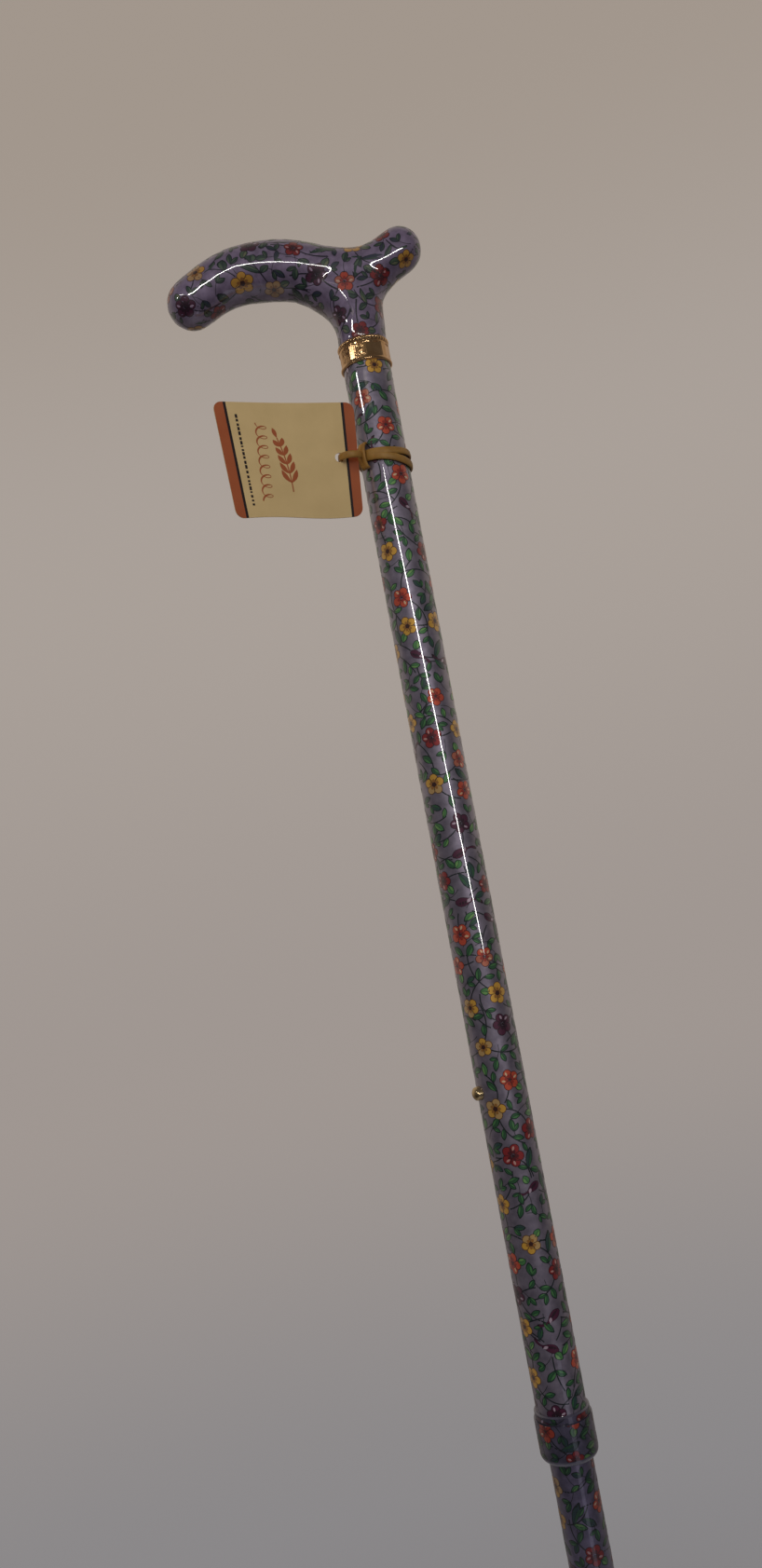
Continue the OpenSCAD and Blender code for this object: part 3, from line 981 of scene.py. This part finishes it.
def card_edge(x):
    """How far the card's rounded corners cut in at x."""
    inset = min(x, CARD_W - x)
    if inset >= CORNER_R:
        return 0.0
    return CORNER_R - math.sqrt(max(0.0, CORNER_R ** 2 - (CORNER_R - inset) ** 2))


def make_card():
    """The card with its rust bands and dark lines, as a closed sheet with rounded corners."""
    edge = EDGE_BAND + EDGE_LINE
    marks = [0.0, 0.15, 0.6, 1.3, 2.2, 3.2, EDGE_BAND, edge]
    middle = list(np.linspace(edge, CARD_W - edge, 30))[1:-1]
    columns = marks + middle + [CARD_W - m for m in reversed(marks)]
    rows = 24
    verts = []
    for lift in (CARD_T / 2, -CARD_T / 2):
        for x in columns:
            cut = card_edge(x)
            verts += [card_point(x, cut + (CARD_H - 2 * cut) * j / rows, lift)
                      for j in range(rows + 1)]
    n = len(columns) * (rows + 1)
    faces, inks = [], []
    for i in range(len(columns) - 1):
        middle_x = (columns[i] + columns[i + 1]) / 2
        inset = min(middle_x, CARD_W - middle_x)
        ink = 1 if inset < EDGE_BAND else 2 if inset < edge else 0
        for j in range(rows):
            a, b = i * (rows + 1) + j, (i + 1) * (rows + 1) + j
            faces += [(a, a + 1, b + 1, b), (n + a, n + b, n + b + 1, n + a + 1)]
            inks += [ink, ink]
    rim = [i * (rows + 1) for i in range(len(columns))]
    rim += [(len(columns) - 1) * (rows + 1) + j for j in range(1, rows + 1)]
    rim += [i * (rows + 1) + rows for i in range(len(columns) - 2, -1, -1)]
    rim += [j for j in range(rows - 1, 0, -1)]
    for a, b in zip(rim, rim[1:] + rim[:1]):
        faces.append((a, b, n + b, n + a))
        inks.append(0)
    obj = piece("swing_tag_card", verts, faces, [CARD, CARD_RUST, CARD_DARK],
                "tag", "tag_card", inks)
    centre = LINK - Vector((math.cos(TAG_TURN), math.sin(TAG_TURN), 0)) * LINK_R
    through = Vector((-math.sin(TAG_TURN), math.cos(TAG_TURN), 0)) * 6
    cutter = piece("tag_hole_cutter", *rod(centre - through, centre + through, TAG_HOLE_R, 28),
                   [CARD], "tag", "tag_card")
    crisp(obj, 40)
    crisp(cutter, 40)
    cut = obj.modifiers.new("hole", "BOOLEAN")
    cut.object = cutter
    cut.operation = "DIFFERENCE"
    cut.solver = "EXACT"
    bpy.context.view_layer.update()
    apply_modifiers(obj)
    bpy.data.objects.remove(cutter)
    crisp(obj, 40)
    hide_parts("swing_tag")


def make_card_print():
    """A row of dashes, a pen-loop flourish and a small leaf sprig on both faces."""
    verts, faces, inks = [], [], []
    lift = CARD_T / 2 + 0.03

    def stroke(points, widths, ink):
        for side in (1, -1):
            start = len(verts)
            for i, (x, y) in enumerate(points):
                nx, ny = (c * widths[i] for c in left_of(points, i))
                verts.append(card_point(x + nx, y + ny, side * lift))
                verts.append(card_point(x - nx, y - ny, side * lift))
            for i in range(len(points) - 1):
                a = start + 2 * i
                quad = (a, a + 1, a + 3, a + 2)
                faces.append(quad if side > 0 else quad[::-1])
                inks.append(ink)

    rng = random.Random(3)
    far = CARD_W - 9.5
    y = 5.5
    while y < 47:
        dash = rng.uniform(0.7, 2.0)
        stroke([(far, y), (far, y + dash)], [0.55, 0.55], 1)
        y += dash + rng.choice((0.45, 0.45, 0.9))
    turns = [TAU * 8 * v / 160 for v in range(161)]
    flourish = [(far - 7.6 + 2.5 * math.cos(a) - 0.06 * a, 7.5 + 0.74 * a + 1.7 * math.sin(a))
                for a in turns]
    stroke(flourish, [0.17 + 0.24 * max(0.0, math.sin(a + 0.6)) for a in turns], 0)
    root = (far - 21.0, 12.0)
    stem = along(26, math.pi / 2, -0.3, 12, *root)
    stroke(stem, [0.3] * len(stem), 0)
    for i in range(2, 12, 2):
        for side in (1, -1):
            heading = math.pi / 2 - 0.3 * i / 12 + side * 0.8
            blade = along(8.0 - 0.34 * i, heading, -side * 0.5, 5, *stem[i])
            stroke(blade, scaled(LEAF_SHAPE, 1.15), 0)
    stroke(along(5.0, math.pi / 2 - 0.3, 0, 5, *stem[-1]), scaled(LEAF_SHAPE, 1.0), 0)
    piece("swing_tag_ornament", verts, faces, [CARD_RUST, CARD_DARK], "tag", "tag_card", inks)


make_card()
make_card_print()


# ---- rubber band
def strap(points, outward, half_w, half_t, closed=False, sides=12):
    """A flat band with round edges along points; outward is its thickness direction at each."""
    pts, out = [Vector(p) for p in points], [Vector(o).normalized() for o in outward]
    n = len(pts)
    verts = []
    for i, p in enumerate(pts):
        behind, ahead = around(pts, i, closed)
        across = (ahead - behind).normalized().cross(out[i]).normalized()
        for c, t in spin(sides):
            square = 1 / max(abs(c), abs(t)) ** 0.6
            verts.append(p + across * (half_w * c * square) + out[i] * (half_t * t * square))
    faces = grid_faces(n, sides, closed_rows=closed)
    if not closed:
        faces += [tuple(range(sides - 1, -1, -1)), tuple(range((n - 1) * sides, n * sides))]
    return verts, faces


def make_band():
    """Two turns of a flat band round the tube, the wrap that gathers them and the tag's loop."""
    parts = []
    for side, phase in ((1, 0.0), (-1, 0.5)):
        ring, out = [], []
        for k in range(120):
            a = TAU * k / 120
            r = UPPER_R + 0.95 + 0.12 * math.sin(3 * a + phase)
            apart = 0.95 + 1.85 * (0.5 + 0.5 * math.cos(a)) ** 3
            z = BAND_Z - 1.9 - 1.7 * math.cos(a) + side * apart + 0.15 * math.sin(2 * a + phase)
            ring.append((r * math.cos(a), r * math.sin(a), z))
            out.append((math.cos(a), math.sin(a), 0.12 * side))
        parts.append(strap(ring, out, 1.7, 0.6, closed=True))
    wrap_angle = math.radians(224)
    aside = Vector((-math.sin(wrap_angle), math.cos(wrap_angle), 0))
    across = Vector((math.cos(wrap_angle), math.sin(wrap_angle), 0))
    rows = smooth_rows([(11.9, 5.6), (12.9, 5.2), (13.9, 3.0), (14.2, 0.0), (13.9, -3.2),
                        (12.9, -5.4), (11.9, -5.9)], 5)
    for shift, half in ((-0.9, 1.45), (1.1, 1.3)):
        wrap = [across * r + aside * (shift + 0.05 * z) + Vector((0, 0, BAND_Z - 0.6 + z))
                for r, z in rows]
        flat = [across + Vector((0, 0, 0.16 * z)) for _, z in rows]
        parts.append(strap(wrap, flat, half, 0.6))
    loop, out = [], []
    for k in range(72):
        a = TAU * k / 72
        turn = a + TAG_TURN
        side = math.sin(a)
        point = LINK + Vector((LINK_R * math.cos(turn), LINK_R * math.sin(turn), 0.5 * side - 0.3))
        loop.append(point)
        out.append((math.cos(turn), math.sin(turn), 0.25 * side))
    parts.append(strap(loop, out, 1.6, 0.55, closed=True))
    verts, faces = joined(parts)
    obj = piece("tag_rubber_band", verts, faces, [BAND_RUBBER], "band", "band_rubber")
    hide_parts("tag_band")
    crisp(obj, 60)


make_band()


# ---- CAD nodes that stay
KEPT = {"upper_tube": TUBE_PAINT, "lower_tube": LOWER_PAINT_AND_SHADE, "lock_base": LOCK_PAINT_AND_SHADE,
        "lock_ring": LOCK_PAINT_AND_SHADE, "lock_collet": BLACK_PLASTIC, "guide_bush": WHITE_PLASTIC,
        "handle_insert": BRASS, "handle_stud": STEEL, "tube_plug": WOOD, "ferrule_washer": STEEL}
for node, mat in KEPT.items():
    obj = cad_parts[node]
    if not obj.material_slots:
        obj.data.materials.append(mat)
    for material_slot in obj.material_slots:
        material_slot.material = mat


# ---- stage, camera and lights
FLOOR_EDGE = 0.75
FLOOR_FADE_START = 0.12
FLOOR_SIDES = 64
SHAFT_MIDDLE = Vector((0, 0, 0.75))
COLLAR_MIDDLE = (0, 0, 0.8185)
STRIP_WHITE = (1, 0.98, 0.94)
# What the camera sees behind the cane, from low to high: share of the way, colour. Its grading from
# darker low down to lighter high up is painted shade and light, as on a lit wall.
BACKDROP = ((0.02, (0.252, 0.243, 0.25)), (0.34, (0.35, 0.308, 0.286)),
            (0.74, (0.4, 0.352, 0.318)), (1, (0.361, 0.308, 0.265)))
# What lights and reflects in the cane: from front to back, and its shade from low to high
ROOM = ((0, (0.075, 0.07, 0.07)), (1, (0.36, 0.315, 0.275)))
ROOM_SHADE = ((0, (0.35, 0.35, 0.38)), (1, (1, 1, 1)))


def make_floor():
    """A round pale floor that fades out with distance, so that no horizon shows."""
    mat = material("floor", (0.62, 0.65, 0.72), roughness=0.9)
    tree = mat.node_tree
    place = add_node(tree, "TexCoord").outputs["Object"]
    length = add_node(tree, "VectorMath", {0: place}, operation="LENGTH")
    fade = add_node(tree, "MapRange", {"Value": length.outputs["Value"], "To Min": 1.0, "To Max": 0.0,
                                       "From Min": FLOOR_FADE_START,
                                       "From Max": FLOOR_EDGE * 0.95},
                    interpolation_type="SMOOTHSTEP")
    clear = add_node(tree, "BsdfTransparent")
    mix = add_node(tree, "MixShader", {0: fade.outputs["Result"], 1: clear.outputs["BSDF"],
                                       2: shader_of(mat).outputs["BSDF"]})
    tree.links.new(mix.outputs["Shader"], tree.nodes["Material Output"].inputs["Surface"])
    mesh = bpy.data.meshes.new("floor")
    mesh.from_pydata([(0, 0, 0)] + circle(FLOOR_EDGE, 0, FLOOR_SIDES), [],
                     [(0, k + 1, (k + 1) % FLOOR_SIDES + 1) for k in range(FLOOR_SIDES)])
    mesh.materials.append(mat)
    obj = add_object("floor", mesh)


def area_light(name, place, target, size, power, color=(1, 1, 1), glossy=True):
    light = bpy.data.lights.new(name, "AREA")
    light.shape = "RECTANGLE"
    light.size, light.size_y = size
    light.energy = power
    light.color = color
    obj = add_object(name, light)
    obj.location = place
    obj.rotation_euler = (Vector(target) - Vector(place)).to_track_quat("-Z", "Y").to_euler()
    obj.visible_camera = False
    obj.visible_glossy = glossy
    return obj


def strip_light(name, start, end, width, power, color):
    """A long thin light between two points, turned towards the cane."""
    start, end = Vector(start), Vector(end)
    middle = (start + end) / 2
    obj = area_light(name, middle, SHAFT_MIDDLE, ((end - start).length, width), power, color)
    along_x = (end - start).normalized()
    facing = middle - SHAFT_MIDDLE
    out = (facing - along_x * facing.dot(along_x)).normalized()
    turn = Matrix((along_x, out.cross(along_x), out)).transposed()
    obj.rotation_euler = turn.to_euler()


def make_world():
    """A pale backdrop for the camera, and a room for the reflections that is dim in front."""
    world = bpy.data.worlds.new("studio")
    world.use_nodes = True
    tree = world.node_tree

    def blend(first, second, factor, kind="MIX"):
        node = add_node(tree, "Mix", {"Factor": factor}, data_type="RGBA", blend_type=kind)
        sockets = [socket for socket in node.inputs if socket.type == "RGBA"]
        for socket, source in zip(sockets, (first, second)):
            tree.links.new(source, socket)
        return [socket for socket in node.outputs if socket.type == "RGBA"][0]

    def graded(axis, low, high, stops):
        """Colours over one axis of the direction looked in."""
        share = add_node(tree, "MapRange",
                         {"Value": direction.outputs[axis], "From Min": low, "From Max": high})
        return color_ramp(tree, share.outputs["Result"], stops, "EASE")

    looked_in = add_node(tree, "TexCoord").outputs["Generated"]
    direction = add_node(tree, "SeparateXYZ", {"Vector": looked_in})
    backdrop = graded("Z", -0.5, 0.6, BACKDROP)
    room = blend(graded("Y", -0.35, 0.45, ROOM), graded("Z", -0.45, 0.15, ROOM_SHADE), 1.0,
                 "MULTIPLY")
    from_camera = add_node(tree, "LightPath").outputs["Is Camera Ray"]
    tree.links.new(blend(room, backdrop, from_camera), tree.nodes["Background"].inputs["Color"])
    bpy.context.scene.world = world


def make_camera():
    """A phone camera at arm's length, a little below the handle and rolled."""
    place = Vector((-0.0235, -0.535, 0.5933))
    ahead = Vector((-0.0094, 0.9964, 0.0842)).normalized()
    up = Vector((0.1806, -0.0811, 0.9802))
    right = ahead.cross(up).normalized()
    up = right.cross(ahead)
    data = bpy.data.cameras.new("camera")
    data.sensor_fit = "VERTICAL"
    data.sensor_height = 36.0
    data.lens = 27.04
    obj = add_object("camera", data)
    turn = Matrix((right, up, -ahead)).transposed()
    obj.matrix_world = Matrix.Translation(place) @ turn.to_4x4()
    bpy.context.scene.camera = obj


make_floor()
make_world()
make_camera()
strip_light("long_strip", (-0.6, -2.5, 1.67), (1.65, -2.5, 0.36), 0.07, 14, STRIP_WHITE)
strip_light("short_strip", (-2.5, -2.5, 2.77), (-1.45, -2.5, 2.17), 0.06, 5, STRIP_WHITE)
area_light("soft_front", (-0.4, -1.3, 1.75), (0, 0, 0.85), (0.9, 0.7), 4.5, (1, 0.96, 0.9), False)
area_light("soft_side", (1.8, -0.9, 1.6), (0, 0, 0.6), (1.0, 1.2), 2, (0.96, 0.97, 1), False)
area_light("low_card", (0.16, -0.37, 0.085), (0, 0, 0.3), (0.13, 0.26), 0.025, (0.82, 0.8, 1))
area_light("collar_card", (-1.176, -0.739, 1.405), COLLAR_MIDDLE, (0.12, 0.065), 0.5)
area_light("panel_card", (-0.42, -1.325, 1.41), COLLAR_MIDDLE, (0.35, 0.06), 0.035, (1, 0.9, 0.75))
bpy.context.scene.view_settings.view_transform = "Standard"
